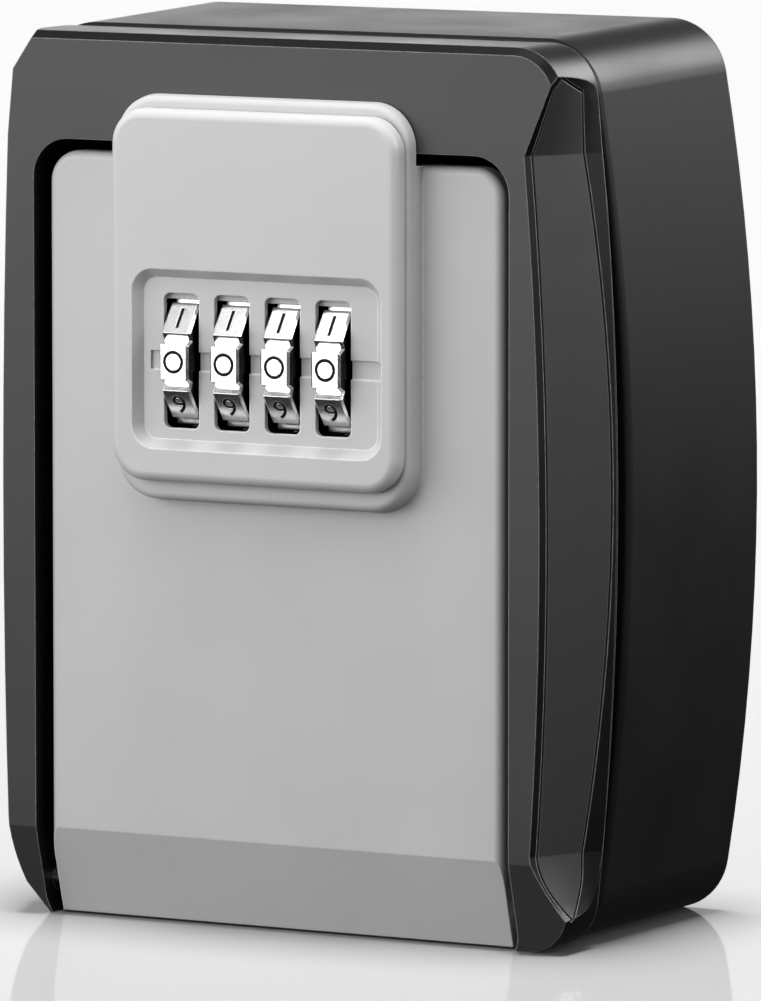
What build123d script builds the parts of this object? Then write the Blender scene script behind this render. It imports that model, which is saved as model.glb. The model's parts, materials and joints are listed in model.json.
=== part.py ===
from build123d import *
from math import cos, radians
import os

# Wall-mounted key lock box: a cast case with a bottom-hinged door, whose four-dial
# combination sits in a slide that is pulled down to draw the latch.
# Millimetres. +Z is up, the front faces -Y and the wall is the plane Y = 0. The origin is
# the centre of the four wall-fixing holes. A "depth" is a distance in front of the wall.

# Case outline
HALF_HEIGHT = 57.5
BULGE_Z = -2.0
SHELL_BULGE_RADIUS = 300.0
REAR_HALF_WIDTH = 45.8
SHELL_FRONT_HALF_WIDTH = 45.0
SHELL_FRONT_TOP = 56.8
SHELL_CORNER = 8.0
SHELL_DEPTH = 34.0
SHELL_EDGE = 0.8
FOOT_TRIM = 0.1
BACK_WALL = 3.0
SIDE_WALL = 3.6

# Front frame
FRAME_DEPTH = 46.45
FRAME_HALF_WIDTH = 44.4
FRAME_TOP = 56.5
FRAME_CORNER = 6.5
FRAME_BULGE_RADIUS = 460.0
FRAME_EDGE = 1.0
NECK_DEPTH = 36.2
NECK_INSET = 1.3
OPENING_HALF_WIDTH = 34.3
OPENING_TOP = 42.8
OPENING_CORNER = 5.0
LIP_REAR_DEPTH = 41.2
LIP_HALF_WIDTH = 30.0
LIP_ROOM_BOTTOM = 34.8
LIP_ROOM_TOP = 52.5
LEAN_START_Z = -46.0
LEAN_BACK = 3.2

# Side facets: height, half-width at the front face and half-width at FACET_REAR_DEPTH. The
# right one flares out at both ends, and the left one runs out through the frame's corners.
FACET_REAR_DEPTH = 36.6
FAR_X = 60.0
RIGHT_FACET = (
    (-53.5, FAR_X, FAR_X),
    (-53.5, 41.7, 41.9),
    (-45.0, 37.3, 42.2),
    (-3.0, 38.6, 44.4),
    (43.0, 36.4, 41.9),
    (53.0, 40.6, 41.2),
    (53.0, FAR_X, FAR_X),
)
LEFT_FACET = (
    (-57.8, 32.3, 36.8),
    (-53.5, 36.0, 40.5),
    (-45.0, 38.4, 42.2),
    (-3.0, 39.0, 44.4),
    (43.0, 38.1, 41.9),
    (51.5, 37.3, 41.0),
    (57.8, 33.0, 37.0),
)
INLAY_THICKNESS = 1.5
INLAY_FRONT_DEPTH = 45.2
INLAY_BED = 0.1
# Side view of an inlay: front edge from its foot to its head, then down its bowed rear edge
INLAY_FRONT_FOOT = (-INLAY_FRONT_DEPTH, -44.5)
INLAY_FRONT_HEAD = (-INLAY_FRONT_DEPTH, 51.4)
INLAY_PEAK = (-44.2, 52.6)
INLAY_REAR_HEAD = (-39.4, 50.7)
INLAY_REAR_MIDDLE = (-37.3, 2.0)
INLAY_REAR_FOOT = (-39.4, -46.5)
INLAY_REAR_BEND = (-40.7, -50.9)
INLAY_TOE = (-42.7, -53.0)
INLAY_FRONT_BEND = (-44.35, -50.2)
POCKET_MARGIN = 0.3
FLARE_FRACTION = 0.3

# Fixings
WALL_HOLE_X = 22.0
WALL_HOLE_Z = 39.0
WALL_HOLE_RADIUS = 2.3
FRAME_SCREW_X = 36.6
FRAME_SCREW_Z = 47.5
FRAME_SCREW_RADIUS = 1.5
FRAME_SCREW_END = 40.5
FRAME_SCREW_HEAD = 2.8
FRAME_SCREW_SEAT = 2.2
FRAME_BOSS_RADIUS = 3.6
FRAME_SINK_RADIUS = 3.0
SMALL_SCREW_RADIUS = 1.0
SMALL_SCREW_GRIP = 1.03
SMALL_SCREW_CLEAR = 1.1
SMALL_SCREW_HEAD = 1.9

# Door
DOOR_HALF_WIDTH = 32.75
DOOR_TOP = 41.2
DOOR_BOTTOM = -57.2
DOOR_DEPTH = 45.3
DOOR_BACK_DEPTH = 42.3
DOOR_CORNER = 4.0
DOOR_EDGE = 1.1
HINGE_DEPTH = 40.6
HINGE_Z = -53.3
HINGE_BARREL_RADIUS = 3.9
HINGE_PIN_RADIUS = 1.5
HINGE_PIN_HALF = 37.6

# Boss on the door, which the slide runs on
BOSS_HALF_WIDTH = 21.6
BOSS_BOTTOM = -2.9
BOSS_TOP = 49.4
BOSS_CORNER = 6.0
BOSS_DEPTH = 48.4
BOSS_TAPER = 10.0
BOSS_EDGE = 0.8
TAB_BACK_DEPTH = 46.65

# Slide and its travel
TRAVEL = 7.0
PLATE_HALF_WIDTH = 20.7
PLATE_BOTTOM = 0.1
PLATE_TOP = 47.4
PLATE_CORNER = 4.6
PLATE_EDGE = 1.2
PLATE_BACK_DEPTH = 48.6
PLATE_DEPTH = 50.7
RECESS_MIDDLE_X = 0.5
RECESS_HALF_WIDTH = 18.0
RECESS_BOTTOM = 4.3
RECESS_TOP = 27.2
RECESS_SINK = 1.3
RECESS_TAPER = 42.0
RECESS_CORNER = 3.0
SLOT_WIDTH = 5.1
SLOT_HEIGHT = 17.2
SLOT_CORNER = 0.9
MARK_LEFT = -15.4
MARK_HEIGHT = 2.4
MARK_SINK = 0.4
LUG_INNER = 16.1
LUG_OUTER = 18.2
LUG_HALF_HEIGHT = 4.5
LUG_BACK_DEPTH = 37.9
POST_X = 10.0
POST_Z = 37.0
POST_RADIUS = 2.2

# Dials
DIAL_PITCH = 7.3
DIAL_COUNT = 4
DIAL_WIDTH = 4.2
DIAL_DEPTH = 42.2
DIAL_Z = 15.5
DIAL_APOTHEM = 9.35
DIAL_NOTCH_SIZE = 1.0
DIAL_EDGE = 0.3
DIAL_DIGITS = 10
DIAL_BORE = 2.68
DIAL_KEYWAY_RADIUS = 3.5
DIAL_KEYWAY_WIDTH = 0.9
DIAL_COUNTERBORE = 3.6
DIAL_RELEASE_X = -0.6
DIAL_ROOM = 9.95
AXLE_RADIUS = 1.5
RUNNING_GAP = 0.05

# Cam sleeves, reset slider and fence
SLEEVE_RADIUS = 2.6
SLEEVE_END = 3.9
CAM_RADIUS = 4.0
CAM_FLAT = 2.8
CAM_LEFT = -3.35
CAM_WIDTH = 0.9
KEY_LEFT = -0.5
KEY_LENGTH = 1.3
KEY_RADIUS = 3.35
KEY_WIDTH = 0.75
FENCE_REACH = 3.0
FENCE_TOP = 12.63
FENCE_THICKNESS = 0.9
FENCE_BAR_X = (-17.5, 12.5)
FENCE_BAR_Z = (10.2, 14.2)
FENCE_BAR_DEPTH = 32.2
FENCE_TOOTH_LEFT = -4.95
FENCE_TOOTH_RIGHT = -2.35
RESET_WINDOW_X = (11.6, 18.4)
RESET_WINDOW_REACH = 2.6
RESET_TAB_X = (13.5, 17.0)
RESET_TAB_DEPTH = 27.8
RESET_BACK_DEPTH = 29.2
RESET_FRONT_DEPTH = 44.1
RESET_HALF_HEIGHT = 2.1
RESET_END_GAP = 0.06

# Parts behind the door
RETAINER_FRONT_DEPTH = 42.0
RETAINER_DEPTH = 40.8
RETAINER_BOTTOM = 27.0
RETAINER_TOP = 41.0
RETAINER_HALF_WIDTH = 14.5
EAR_INNER = 18.7
EAR_OUTER = 22.9
EAR_BOTTOM = 30.2
BOLT_HALF_WIDTH = 7.5
BOLT_BOTTOM = 30.0
BOLT_TOP = 46.0
BOLT_BACK_DEPTH = 37.8
BOLT_RAMP = 2.2
BOLT_SCREW_X = 4.0
BOLT_SCREW_Z = 34.0
EAR_FOOT_DEPTH = 37.0
EAR_FOOT_HEIGHT = 1.2
POST_HOLE_END = 47.0
POST_SCREW_END = 46.0
SMALL_HEAD_HEIGHT = 1.0
DETENT_BAR_X = (-13.5, 13.5)
DETENT_BAR_Z = (27.2, 29.6)
DETENT_BAR_HEIGHT = 0.4
DETENT_FINGER_WIDTH = 2.8
DETENT_FINGER = ((-40.8, 27.6), (-40.4, 28.0), (-36.0, 23.9), (-36.3, 23.5))
SPRING_X = 20.8
SPRING_DEPTH = 39.2
SPRING_RADIUS = 1.8
SPRING_WIRE = 0.3
SPRING_TURNS = 6
SHELF_TOP = 13.0
COVER_HALF_WIDTH = 31.2
COVER_BOTTOM = -5.6
COVER_TOP = 40.6
COVER_FRONT_DEPTH = 31.0
COVER_BACK_DEPTH = 29.6
COVER_WALL = 1.2
COVER_CORNER = 2.5
COVER_NOTCH_X = 24.0
COVER_NOTCH_DEPTH = 36.0
COVER_NOTCH_HEIGHT = 3.0
COVER_POST_RADIUS = 2.6
COVER_POST_HOLE_END = 38.0
COVER_SCREW_HEAD_HEIGHT = 1.2
COVER_SCREW_END = 37.0
COVER_SCREW_X = 26.6
COVER_SCREW_Z = (-1.5, 36.4)


def at_depth(depth):
    """Plane parallel to the wall and facing forwards, at a depth in front of it."""
    return Plane.XZ.offset(depth)


def dial_x(number):
    """Middle of dial 1 to 4, from left to right."""
    return (number - (DIAL_COUNT + 1) / 2) * DIAL_PITCH


def bowed_outline(half_width, top, bottom, corner, bulge):
    """Outline with straight top and bottom, sides bowed to a radius and round corners."""
    top_x = half_width - (top - BULGE_Z) ** 2 / (2 * bulge)
    bottom_x = half_width - (bottom - BULGE_Z) ** 2 / (2 * bulge)
    with BuildSketch() as outline:
        with BuildLine():
            ThreePointArc((bottom_x, bottom), (half_width, BULGE_Z), (top_x, top))
            Line((top_x, top), (-top_x, top))
            ThreePointArc((-top_x, top), (-half_width, BULGE_Z), (-bottom_x, bottom))
            Line((-bottom_x, bottom), (bottom_x, bottom))
        make_face()
        fillet(outline.vertices(), corner)
    return outline.sketch


def block(x_range, depth_range, z_range):
    """Box between two X values, two depths and two heights."""
    with BuildPart(mode=Mode.PRIVATE) as piece:
        with BuildSketch(at_depth(min(depth_range))):
            with Locations(((x_range[0] + x_range[1]) / 2, (z_range[0] + z_range[1]) / 2)):
                Rectangle(abs(x_range[1] - x_range[0]), abs(z_range[1] - z_range[0]))
        extrude(amount=abs(depth_range[1] - depth_range[0]))
    return piece.part


def rod(x, z, radius, depth_range):
    """Cylinder along Y between two depths."""
    with BuildPart(mode=Mode.PRIVATE) as piece:
        with BuildSketch(at_depth(min(depth_range))):
            with Locations((x, z)):
                Circle(radius)
        extrude(amount=abs(depth_range[1] - depth_range[0]))
    return piece.part


def cross_rod(depth, z, radius, x_range):
    """Cylinder along X between two X values."""
    with BuildPart(mode=Mode.PRIVATE) as piece:
        with BuildSketch(Plane.YZ.offset(x_range[0])):
            with Locations((-depth, z)):
                Circle(radius)
        extrude(amount=x_range[1] - x_range[0])
    return piece.part


def screw(x, z, shank, head, depths):
    """Screw along Y: depths are those of the head's outer face, its seat and the tip."""
    with BuildPart(mode=Mode.PRIVATE) as piece:
        add(rod(x, z, shank, (depths[1], depths[2])))
        add(rod(x, z, head, (depths[0], depths[1])))
    return piece.part


def facet_points(facet, depth, inset):
    """The facet's outline at one depth, moved inwards by inset, from its foot to its head."""
    share = (FRAME_DEPTH - depth) / (FRAME_DEPTH - FACET_REAR_DEPTH)
    return [(front + share * (rear - front) - inset, z) for z, front, rear in facet]


def facet_section(facet, depth, inset):
    """Region outside the facet at one depth."""
    foot, low, bend_low, middle, bend_top, top, head = facet_points(facet, depth, inset)
    toe = (bend_low[0] + FLARE_FRACTION * (low[0] - bend_low[0]), (low[1] + bend_low[1]) / 2)
    with BuildSketch() as section:
        with BuildLine():
            Line(foot, low)
            ThreePointArc(low, toe, bend_low)
            ThreePointArc(bend_low, middle, bend_top)
            Line(bend_top, top)
            Line(top, head)
            Polyline(head, (2 * FAR_X, head[1]), (2 * FAR_X, foot[1]), foot)
        make_face()
    return section.sketch


def facet_cutter(facet, inset, front_depth):
    """Everything outside a facet, up to a front depth. It is drawn on the right-hand side."""
    with BuildPart(mode=Mode.PRIVATE) as cutter:
        with BuildSketch(at_depth(front_depth)):
            add(facet_section(facet, front_depth, inset))
        with BuildSketch(at_depth(SHELL_DEPTH - 1)):
            add(facet_section(facet, SHELL_DEPTH - 1, inset))
        loft(ruled=True)
    return cutter.part


def make_rear_shell():
    with BuildPart() as rear_shell:
        bottom = -HALF_HEIGHT - FOOT_TRIM
        with BuildSketch(at_depth(0)):
            add(bowed_outline(REAR_HALF_WIDTH, HALF_HEIGHT, bottom, SHELL_CORNER, SHELL_BULGE_RADIUS))
        with BuildSketch(at_depth(SHELL_DEPTH)):
            add(bowed_outline(
                SHELL_FRONT_HALF_WIDTH, SHELL_FRONT_TOP, bottom, SHELL_CORNER, SHELL_BULGE_RADIUS))
        loft(ruled=True)
        fillet(rear_shell.edges().group_by(Axis.Y)[0], SHELL_EDGE)
        below = (-HALF_HEIGHT - 1, -HALF_HEIGHT)
        add(block((-FAR_X, FAR_X), (-1, SHELL_DEPTH + 1), below), mode=Mode.SUBTRACT)
        with BuildSketch(at_depth(BACK_WALL)):
            add(bowed_outline(
                SHELL_FRONT_HALF_WIDTH - SIDE_WALL,
                SHELL_FRONT_TOP - SIDE_WALL,
                -HALF_HEIGHT + SIDE_WALL,
                SHELL_CORNER - SIDE_WALL,
                SHELL_BULGE_RADIUS,
            ))
        extrude(amount=SHELL_DEPTH, mode=Mode.SUBTRACT)
        for x in (-FRAME_SCREW_X, FRAME_SCREW_X):
            for z in (-FRAME_SCREW_Z, FRAME_SCREW_Z):
                add(rod(x, z, FRAME_BOSS_RADIUS, (BACK_WALL - 1, SHELL_DEPTH)))
                add(rod(x, z, FRAME_SCREW_RADIUS + 0.1, (0, SHELL_DEPTH)), mode=Mode.SUBTRACT)
                add(rod(x, z, FRAME_SINK_RADIUS, (0, FRAME_SCREW_SEAT)), mode=Mode.SUBTRACT)
        for x in (-WALL_HOLE_X, WALL_HOLE_X):
            for z in (-WALL_HOLE_Z, WALL_HOLE_Z):
                add(rod(x, z, WALL_HOLE_RADIUS, (0, BACK_WALL)), mode=Mode.SUBTRACT)
    return rear_shell.part


def frame_blank():
    """The frame's outer block, before its opening and facets are cut."""
    with BuildPart(mode=Mode.PRIVATE) as blank:
        with BuildSketch(at_depth(SHELL_DEPTH)):
            add(bowed_outline(
                FRAME_HALF_WIDTH, FRAME_TOP, -HALF_HEIGHT, FRAME_CORNER, FRAME_BULGE_RADIUS))
        extrude(amount=FRAME_DEPTH - SHELL_DEPTH)
        front = blank.faces().sort_by(Axis.Y)[0]
        chamfer(front.edges().sort_by(Axis.Z)[1:], FRAME_EDGE)
        with BuildSketch(Plane.YZ):
            with BuildLine():
                Polyline(
                    (-FRAME_DEPTH, LEAN_START_Z),
                    (-FRAME_DEPTH + LEAN_BACK, -HALF_HEIGHT),
                    (-FRAME_DEPTH - 5, -HALF_HEIGHT),
                    (-FRAME_DEPTH - 5, LEAN_START_Z),
                    close=True,
                )
            make_face()
        extrude(amount=FAR_X, both=True, mode=Mode.SUBTRACT)
    return blank.part


def neck_ring():
    """Ring that cuts the shadow groove between the shell and the frame."""
    with BuildPart(mode=Mode.PRIVATE) as ring:
        with BuildSketch(at_depth(SHELL_DEPTH)):
            Rectangle(2 * FAR_X, 2 * FAR_X)
            add(bowed_outline(
                FRAME_HALF_WIDTH - NECK_INSET,
                FRAME_TOP - NECK_INSET,
                -HALF_HEIGHT,
                FRAME_CORNER - NECK_INSET,
                FRAME_BULGE_RADIUS,
            ), mode=Mode.SUBTRACT)
        extrude(amount=NECK_DEPTH - SHELL_DEPTH)
    return ring.part


def inlay_prism(margin):
    """Side view of the inlay panel, grown by a margin, straight through the case's right side."""
    with BuildPart(mode=Mode.PRIVATE) as prism:
        with BuildSketch(Plane.YZ):
            with BuildLine():
                Polyline(INLAY_FRONT_FOOT, INLAY_FRONT_HEAD, INLAY_PEAK, INLAY_REAR_HEAD)
                ThreePointArc(INLAY_REAR_HEAD, INLAY_REAR_MIDDLE, INLAY_REAR_FOOT)
                ThreePointArc(INLAY_REAR_FOOT, INLAY_REAR_BEND, INLAY_TOE)
                ThreePointArc(INLAY_TOE, INLAY_FRONT_BEND, INLAY_FRONT_FOOT)
            make_face()
            if margin:
                offset(amount=margin)
        extrude(amount=FAR_X)
    return prism.part


def inlay_pocket(facet):
    """Pocket for the inlay in one facet, drawn on the right-hand side."""
    with BuildPart(mode=Mode.PRIVATE) as pocket:
        add(facet_cutter(facet, INLAY_THICKNESS, FRAME_DEPTH + 1))
        add(inlay_prism(POCKET_MARGIN), mode=Mode.INTERSECT)
    return pocket.part


def make_side_inlay(facet):
    """Inlay panel for one facet, drawn on the right-hand side."""
    with BuildPart() as side_inlay:
        add(facet_cutter(facet, INLAY_THICKNESS - INLAY_BED, FRAME_DEPTH + 1))
        add(facet_cutter(facet, 0, FRAME_DEPTH + 2), mode=Mode.SUBTRACT)
        add(inlay_prism(0), mode=Mode.INTERSECT)
    return side_inlay.part


def make_front_frame():
    with BuildPart() as front_frame:
        add(frame_blank())
        with BuildSketch(at_depth(SHELL_DEPTH)) as opening:
            with Locations((0, (OPENING_TOP - FAR_X) / 2)):
                Rectangle(2 * OPENING_HALF_WIDTH, OPENING_TOP + FAR_X)
            fillet(opening.vertices().group_by(Axis.Z)[-1], OPENING_CORNER)
        extrude(amount=FRAME_DEPTH, mode=Mode.SUBTRACT)
        lip_width = (-LIP_HALF_WIDTH, LIP_HALF_WIDTH)
        lip_room = (LIP_ROOM_BOTTOM, LIP_ROOM_TOP)
        add(block(lip_width, (SHELL_DEPTH, LIP_REAR_DEPTH), lip_room), mode=Mode.SUBTRACT)
        add(neck_ring(), mode=Mode.SUBTRACT)
        for cutter in (facet_cutter(RIGHT_FACET, 0, FRAME_DEPTH + 1), inlay_pocket(RIGHT_FACET)):
            add(cutter, mode=Mode.SUBTRACT)
        for cutter in (facet_cutter(LEFT_FACET, 0, FRAME_DEPTH + 1), inlay_pocket(LEFT_FACET)):
            add(cutter.mirror(Plane.YZ), mode=Mode.SUBTRACT)
        for x in (-FRAME_SCREW_X, FRAME_SCREW_X):
            for z in (-FRAME_SCREW_Z, FRAME_SCREW_Z):
                add(rod(x, z, FRAME_SCREW_RADIUS + 0.03, (SHELL_DEPTH, FRAME_SCREW_END + 0.5)),
                    mode=Mode.SUBTRACT)
        pin_room = (-HINGE_PIN_HALF - 0.2, HINGE_PIN_HALF + 0.2)
        add(cross_rod(HINGE_DEPTH, HINGE_Z, HINGE_PIN_RADIUS + 0.02, pin_room), mode=Mode.SUBTRACT)
    return front_frame.part


def make_frame_screws():
    with BuildPart() as frame_screws:
        for x in (-FRAME_SCREW_X, FRAME_SCREW_X):
            for z in (-FRAME_SCREW_Z, FRAME_SCREW_Z):
                depths = (0.4, FRAME_SCREW_SEAT, FRAME_SCREW_END)
                add(screw(x, z, FRAME_SCREW_RADIUS, FRAME_SCREW_HEAD, depths))
    return frame_screws.part


def make_hinge_pin():
    with BuildPart() as hinge_pin:
        add(cross_rod(HINGE_DEPTH, HINGE_Z, HINGE_PIN_RADIUS, (-HINGE_PIN_HALF, HINGE_PIN_HALF)))
        chamfer(hinge_pin.edges().filter_by(GeomType.CIRCLE), 0.3)
    return hinge_pin.part


def make_door_panel():
    with BuildPart() as door_panel:
        with BuildSketch(Plane.YZ):
            with BuildLine():
                Line((-DOOR_BACK_DEPTH, DOOR_TOP), (-DOOR_DEPTH, DOOR_TOP))
                Line((-DOOR_DEPTH, DOOR_TOP), (-DOOR_DEPTH, LEAN_START_Z))
                Line((-DOOR_DEPTH, LEAN_START_Z), (-DOOR_DEPTH + LEAN_BACK, DOOR_BOTTOM))
                Line((-DOOR_DEPTH + LEAN_BACK, DOOR_BOTTOM), (-HINGE_DEPTH, DOOR_BOTTOM))
                CenterArc((-HINGE_DEPTH, HINGE_Z), HINGE_BARREL_RADIUS, 270, 90)
                Line((-HINGE_DEPTH + HINGE_BARREL_RADIUS, HINGE_Z), (-DOOR_BACK_DEPTH, -45.5))
                Line((-DOOR_BACK_DEPTH, -45.5), (-DOOR_BACK_DEPTH, DOOR_TOP))
            make_face()
        extrude(amount=DOOR_HALF_WIDTH, both=True)
        top_edges = door_panel.edges().filter_by(Axis.Y).group_by(Axis.Z)[-1]
        fillet(top_edges, DOOR_CORNER)
        front = door_panel.faces().sort_by(Axis.Y)[0]
        fillet(front.edges().sort_by(Axis.Z)[1:], DOOR_EDGE)
        with BuildSketch(at_depth(DOOR_DEPTH - 0.5)) as boss:
            with Locations((0, (BOSS_TOP + BOSS_BOTTOM) / 2)):
                RectangleRounded(2 * BOSS_HALF_WIDTH, BOSS_TOP - BOSS_BOTTOM, BOSS_CORNER)
        extrude(amount=BOSS_DEPTH - DOOR_DEPTH + 0.5, taper=BOSS_TAPER)
        fillet(door_panel.edges().group_by(Axis.Y)[0], BOSS_EDGE)
        add(block((-FAR_X, FAR_X), (DOOR_DEPTH - 3, TAB_BACK_DEPTH), (DOOR_TOP, FAR_X)), mode=Mode.SUBTRACT)
        with BuildSketch(Plane.YZ):
            with Locations((-DIAL_DEPTH, DIAL_Z - TRAVEL / 2)):
                SlotCenterToCenter(TRAVEL, 2 * DIAL_ROOM, rotation=90)
        extrude(amount=LUG_OUTER + 0.4, both=True, mode=Mode.SUBTRACT)
        with BuildSketch(at_depth(DOOR_BACK_DEPTH)):
            with Locations((-POST_X, POST_Z - TRAVEL / 2), (POST_X, POST_Z - TRAVEL / 2)):
                SlotCenterToCenter(TRAVEL, 2 * POST_RADIUS + 0.6, rotation=90)
        extrude(amount=BOSS_DEPTH, mode=Mode.SUBTRACT)
        for side in (-1, 1):
            ear = (side * EAR_INNER, side * EAR_OUTER)
            add(block(ear, (36.6, DOOR_BACK_DEPTH), (SHELF_TOP - 3, SHELF_TOP)))
            with BuildSketch(Plane.XY.offset(SHELF_TOP)):
                with Locations((side * SPRING_X, -SPRING_DEPTH)):
                    Circle(1.2)
            extrude(amount=4)
            for z in COVER_SCREW_Z:
                x = side * COVER_SCREW_X
                add(rod(x, z, COVER_POST_RADIUS, (COVER_FRONT_DEPTH, DOOR_BACK_DEPTH)))
                hole = (COVER_FRONT_DEPTH, COVER_POST_HOLE_END)
                add(rod(x, z, SMALL_SCREW_GRIP, hole), mode=Mode.SUBTRACT)
        bore = (-DOOR_HALF_WIDTH, DOOR_HALF_WIDTH)
        add(cross_rod(HINGE_DEPTH, HINGE_Z, HINGE_PIN_RADIUS + RUNNING_GAP, bore), mode=Mode.SUBTRACT)
    return door_panel.part


def make_lock_cover():
    with BuildPart() as lock_cover:
        outer = (-COVER_HALF_WIDTH, COVER_HALF_WIDTH)
        add(block(outer, (COVER_BACK_DEPTH, DOOR_BACK_DEPTH), (COVER_BOTTOM, COVER_TOP)))
        fillet(lock_cover.edges().filter_by(Axis.Y), COVER_CORNER)
        inner = (-COVER_HALF_WIDTH + COVER_WALL, COVER_HALF_WIDTH - COVER_WALL)
        inner_height = (COVER_BOTTOM + COVER_WALL, COVER_TOP - COVER_WALL)
        add(block(inner, (COVER_FRONT_DEPTH, DOOR_BACK_DEPTH), inner_height), mode=Mode.SUBTRACT)
        notch = (-COVER_NOTCH_X, COVER_NOTCH_X)
        notch_height = (COVER_TOP - COVER_NOTCH_HEIGHT, COVER_TOP)
        add(block(notch, (COVER_NOTCH_DEPTH, DOOR_BACK_DEPTH), notch_height), mode=Mode.SUBTRACT)
        back = (COVER_BACK_DEPTH, COVER_FRONT_DEPTH)
        for x in (-COVER_SCREW_X, COVER_SCREW_X):
            for z in COVER_SCREW_Z:
                add(rod(x, z, SMALL_SCREW_CLEAR, back), mode=Mode.SUBTRACT)
        window = (DIAL_Z - TRAVEL - RESET_WINDOW_REACH, DIAL_Z + RESET_WINDOW_REACH)
        add(block(RESET_WINDOW_X, back, window), mode=Mode.SUBTRACT)
    return lock_cover.part


def make_cover_screws():
    with BuildPart() as cover_screws:
        for x in (-COVER_SCREW_X, COVER_SCREW_X):
            for z in COVER_SCREW_Z:
                depths = (COVER_BACK_DEPTH - COVER_SCREW_HEAD_HEIGHT, COVER_BACK_DEPTH, COVER_SCREW_END)
                add(screw(x, z, SMALL_SCREW_RADIUS, SMALL_SCREW_HEAD, depths))
    return cover_screws.part


def make_fence_comb():
    with BuildPart() as fence_comb:
        add(block(FENCE_BAR_X, (COVER_FRONT_DEPTH, FENCE_BAR_DEPTH), FENCE_BAR_Z))
        tooth_height = (FENCE_TOP - FENCE_THICKNESS, FENCE_TOP)
        for number in range(1, DIAL_COUNT + 1):
            tooth = (dial_x(number) + FENCE_TOOTH_LEFT, dial_x(number) + FENCE_TOOTH_RIGHT)
            add(block(tooth, (FENCE_BAR_DEPTH, DIAL_DEPTH - FENCE_REACH), tooth_height))
    return fence_comb.part


def make_slide_plate():
    with BuildPart() as slide_plate:
        with BuildSketch(at_depth(PLATE_BACK_DEPTH)):
            with Locations((0, (PLATE_TOP + PLATE_BOTTOM) / 2)):
                RectangleRounded(2 * PLATE_HALF_WIDTH, PLATE_TOP - PLATE_BOTTOM, PLATE_CORNER)
        extrude(amount=PLATE_DEPTH - PLATE_BACK_DEPTH)
        front = slide_plate.faces().sort_by(Axis.Y)[0]
        fillet(front.edges(), PLATE_EDGE)
        with BuildSketch(at_depth(PLATE_DEPTH)):
            with Locations((RECESS_MIDDLE_X, (RECESS_TOP + RECESS_BOTTOM) / 2)):
                RectangleRounded(2 * RECESS_HALF_WIDTH, RECESS_TOP - RECESS_BOTTOM, RECESS_CORNER)
        extrude(amount=-RECESS_SINK, taper=RECESS_TAPER, mode=Mode.SUBTRACT)
        floor = PLATE_DEPTH - RECESS_SINK
        mark = (DIAL_Z - MARK_HEIGHT / 2, DIAL_Z + MARK_HEIGHT / 2)
        mark_width = (MARK_LEFT, RECESS_MIDDLE_X + RECESS_HALF_WIDTH)
        add(block(mark_width, (floor - MARK_SINK, PLATE_DEPTH), mark), mode=Mode.SUBTRACT)
        with BuildSketch(at_depth(PLATE_BACK_DEPTH)):
            with Locations(*[(dial_x(number), DIAL_Z) for number in range(1, DIAL_COUNT + 1)]):
                RectangleRounded(SLOT_WIDTH, SLOT_HEIGHT, SLOT_CORNER)
        extrude(amount=PLATE_DEPTH, mode=Mode.SUBTRACT)
        lug = (DIAL_Z - LUG_HALF_HEIGHT, DIAL_Z + LUG_HALF_HEIGHT)
        for side in (-1, 1):
            add(block((side * LUG_INNER, side * LUG_OUTER), (LUG_BACK_DEPTH, PLATE_BACK_DEPTH + 0.3), lug))
            add(rod(side * POST_X, POST_Z, POST_RADIUS, (RETAINER_FRONT_DEPTH, PLATE_BACK_DEPTH + 0.3)))
            hole = (RETAINER_FRONT_DEPTH, POST_HOLE_END)
            add(rod(side * POST_X, POST_Z, SMALL_SCREW_GRIP, hole), mode=Mode.SUBTRACT)
        axle = (-LUG_OUTER, LUG_OUTER)
        add(cross_rod(DIAL_DEPTH, DIAL_Z, AXLE_RADIUS, axle), mode=Mode.SUBTRACT)
    return slide_plate.part


def make_slide_retainer():
    with BuildPart() as retainer:
        width = (-RETAINER_HALF_WIDTH, RETAINER_HALF_WIDTH)
        sheet = (RETAINER_DEPTH, RETAINER_FRONT_DEPTH)
        add(block(width, sheet, (RETAINER_BOTTOM, RETAINER_TOP)))
        add(block((-EAR_OUTER, EAR_OUTER), sheet, (EAR_BOTTOM, RETAINER_TOP)))
        for side in (-1, 1):
            ear = (side * EAR_INNER, side * EAR_OUTER)
            ear_foot = (EAR_BOTTOM, EAR_BOTTOM + EAR_FOOT_HEIGHT)
            add(block(ear, (EAR_FOOT_DEPTH, RETAINER_FRONT_DEPTH), ear_foot))
            add(rod(side * POST_X, POST_Z, SMALL_SCREW_CLEAR, sheet), mode=Mode.SUBTRACT)
            add(rod(side * BOLT_SCREW_X, BOLT_SCREW_Z, SMALL_SCREW_GRIP, sheet), mode=Mode.SUBTRACT)
    return retainer.part


def make_retainer_screws():
    with BuildPart() as retainer_screws:
        for x in (-POST_X, POST_X):
            depths = (RETAINER_DEPTH - SMALL_HEAD_HEIGHT, RETAINER_DEPTH, POST_SCREW_END)
            add(screw(x, POST_Z, SMALL_SCREW_RADIUS, SMALL_SCREW_HEAD, depths))
    return retainer_screws.part


def make_latch_bolt():
    with BuildPart() as latch_bolt:
        width = (-BOLT_HALF_WIDTH, BOLT_HALF_WIDTH)
        thickness = (BOLT_BACK_DEPTH, RETAINER_DEPTH)
        add(block(width, thickness, (BOLT_BOTTOM, BOLT_TOP)))
        rear_top = latch_bolt.faces().sort_by(Axis.Y)[-1].edges().sort_by(Axis.Z)[-1]
        chamfer(rear_top, BOLT_RAMP)
        for x in (-BOLT_SCREW_X, BOLT_SCREW_X):
            add(rod(x, BOLT_SCREW_Z, SMALL_SCREW_CLEAR, thickness), mode=Mode.SUBTRACT)
    return latch_bolt.part


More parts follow.
